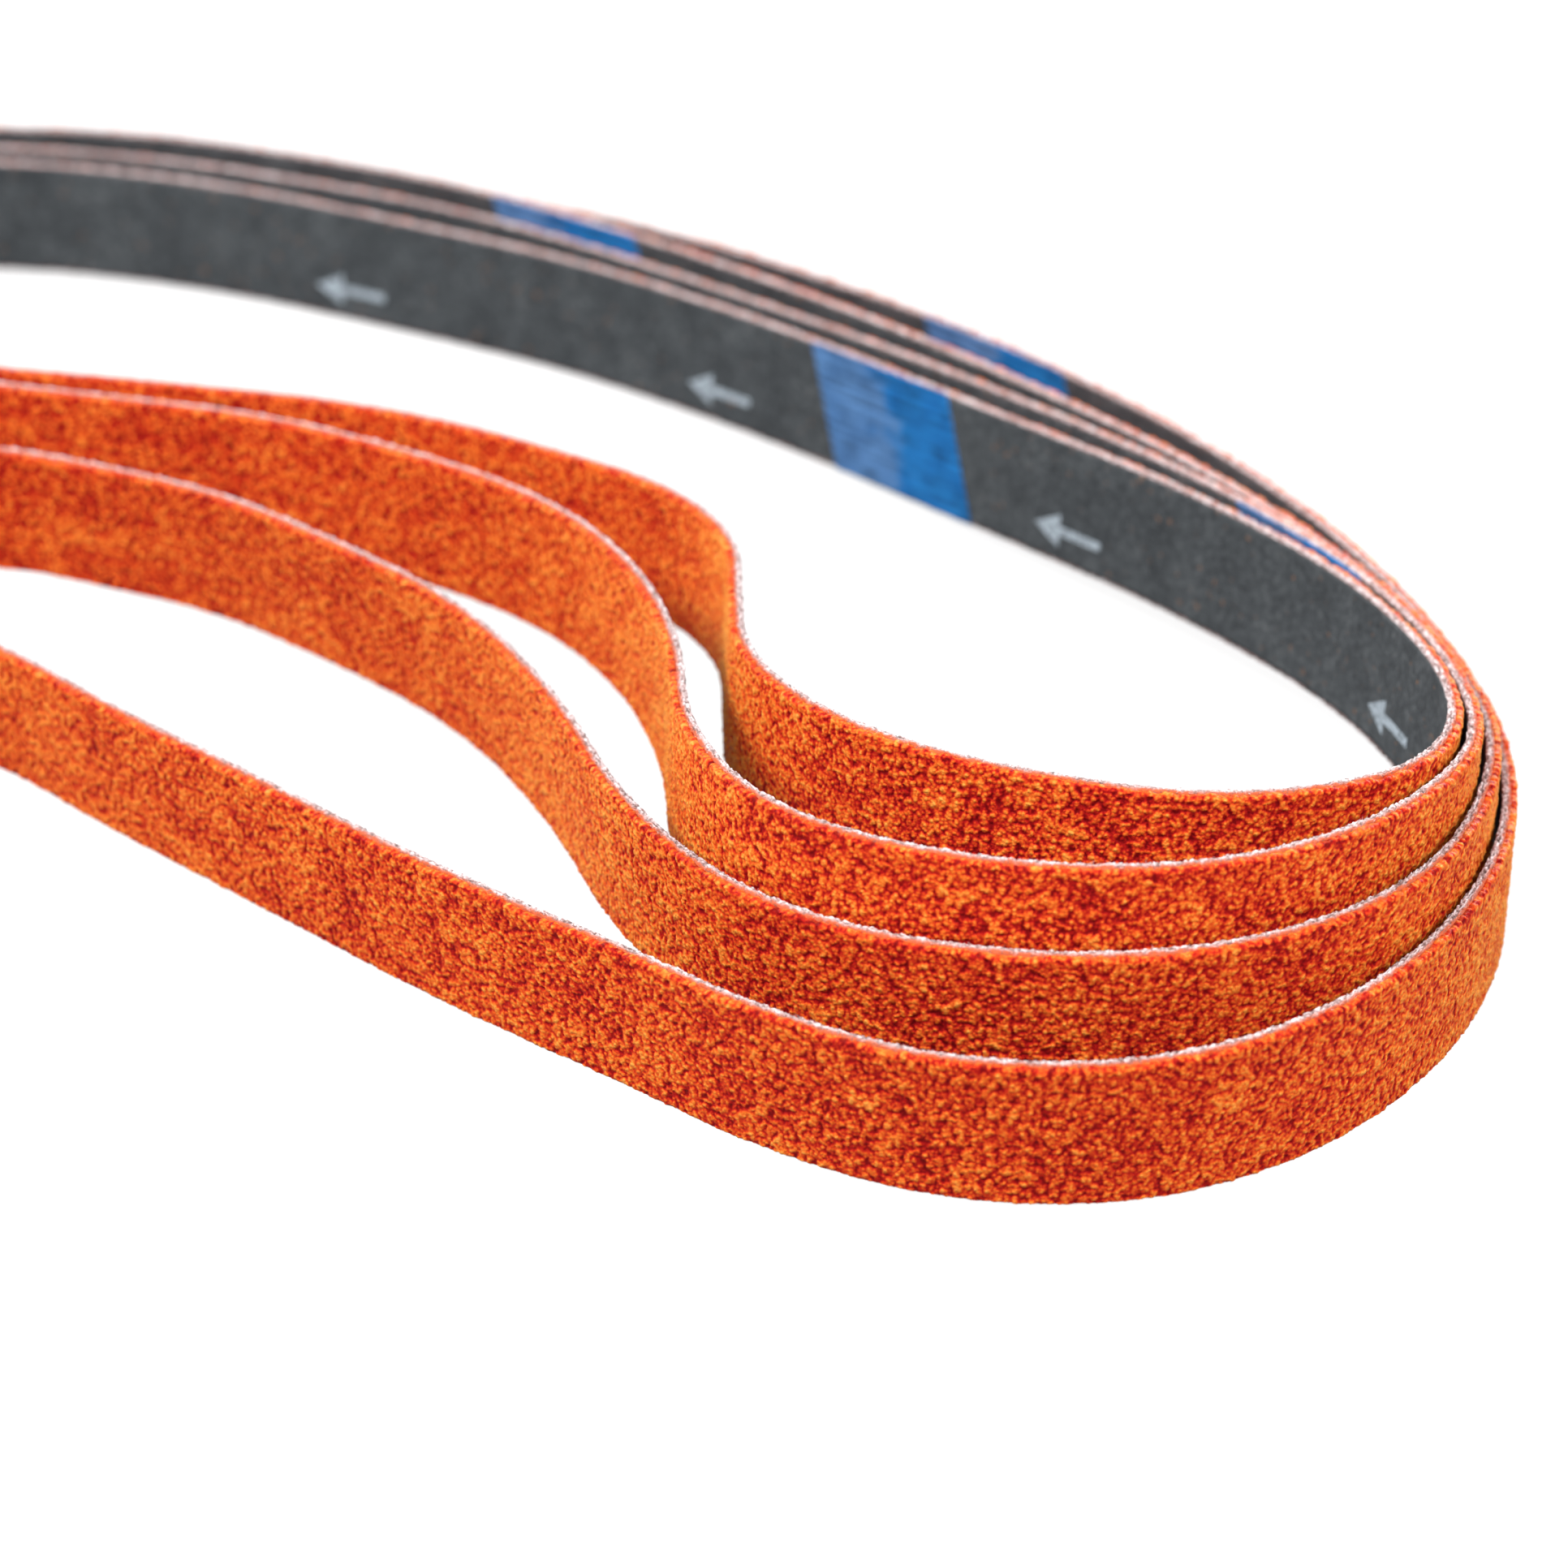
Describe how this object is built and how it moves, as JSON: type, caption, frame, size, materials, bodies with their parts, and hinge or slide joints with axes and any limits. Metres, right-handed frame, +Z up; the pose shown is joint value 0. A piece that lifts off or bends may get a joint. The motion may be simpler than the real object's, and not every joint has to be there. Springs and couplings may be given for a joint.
{
  "type": "narrow abrasive belt set",
  "caption": "Nested narrow endless sanding belts with orange grain outside and dark cloth inside, each with a slanted blue splice tape, bent into a loose kidney-shaped coil.",
  "frame": {"origin": "on the floor, under the middle of the outermost belt's outline", "axes": "+Z up, +X along the long way of the nest, -Y towards the bent front runs"},
  "size_m": [0.2338, 0.1388, 0.0251],
  "materials": {
    "woven_cloth": "woven cotton-polyester cloth, pale pink, frayed at the cut edges",
    "dark_filler": "matt dark grey filler over the weave",
    "make_resin": "hardened resin",
    "coated_grain": "coarse grain under an orange size coat, rough with small glints",
    "tape_glue": "thin hardened glue",
    "blue_tape": "thin blue film with fine threads along the belt",
    "white_ink": "worn printed ink"
  },
  "bodies": {
    "belt_4": {"belt_4_backing": "woven_cloth", "belt_4_back_coat": "dark_filler", "belt_4_make_coat": "make_resin", "belt_4_abrasive_coat": "coated_grain", "belt_4_splice_glue": "tape_glue", "belt_4_splice_tape": "blue_tape", "belt_4_run_arrows": "white_ink"},
    "belt_3": {"belt_3_backing": "woven_cloth", "belt_3_back_coat": "dark_filler", "belt_3_make_coat": "make_resin", "belt_3_abrasive_coat": "coated_grain", "belt_3_splice_glue": "tape_glue", "belt_3_splice_tape": "blue_tape", "belt_3_run_arrows": "white_ink"},
    "belt_2": {"belt_2_backing": "woven_cloth", "belt_2_back_coat": "dark_filler", "belt_2_make_coat": "make_resin", "belt_2_abrasive_coat": "coated_grain", "belt_2_splice_glue": "tape_glue", "belt_2_splice_tape": "blue_tape", "belt_2_run_arrows": "white_ink"},
    "belt_1": {"belt_1_backing": "woven_cloth", "belt_1_back_coat": "dark_filler", "belt_1_make_coat": "make_resin", "belt_1_abrasive_coat": "coated_grain", "belt_1_splice_glue": "tape_glue", "belt_1_splice_tape": "blue_tape", "belt_1_run_arrows": "white_ink"}
  },
  "joints": [
    {"name": "belt_3_lift", "type": "slide", "parent": "belt_4", "child": "belt_3", "axis": [0, 0, 1], "range_m": [0, 0.025]},
    {"name": "belt_2_lift", "type": "slide", "parent": "belt_3", "child": "belt_2", "axis": [0, 0.014, 0.9999], "range_m": [0, 0.025]},
    {"name": "belt_1_lift", "type": "slide", "parent": "belt_2", "child": "belt_1", "axis": [0, 0.0872, 0.9962], "range_m": [0, 0.025]}
  ]
}
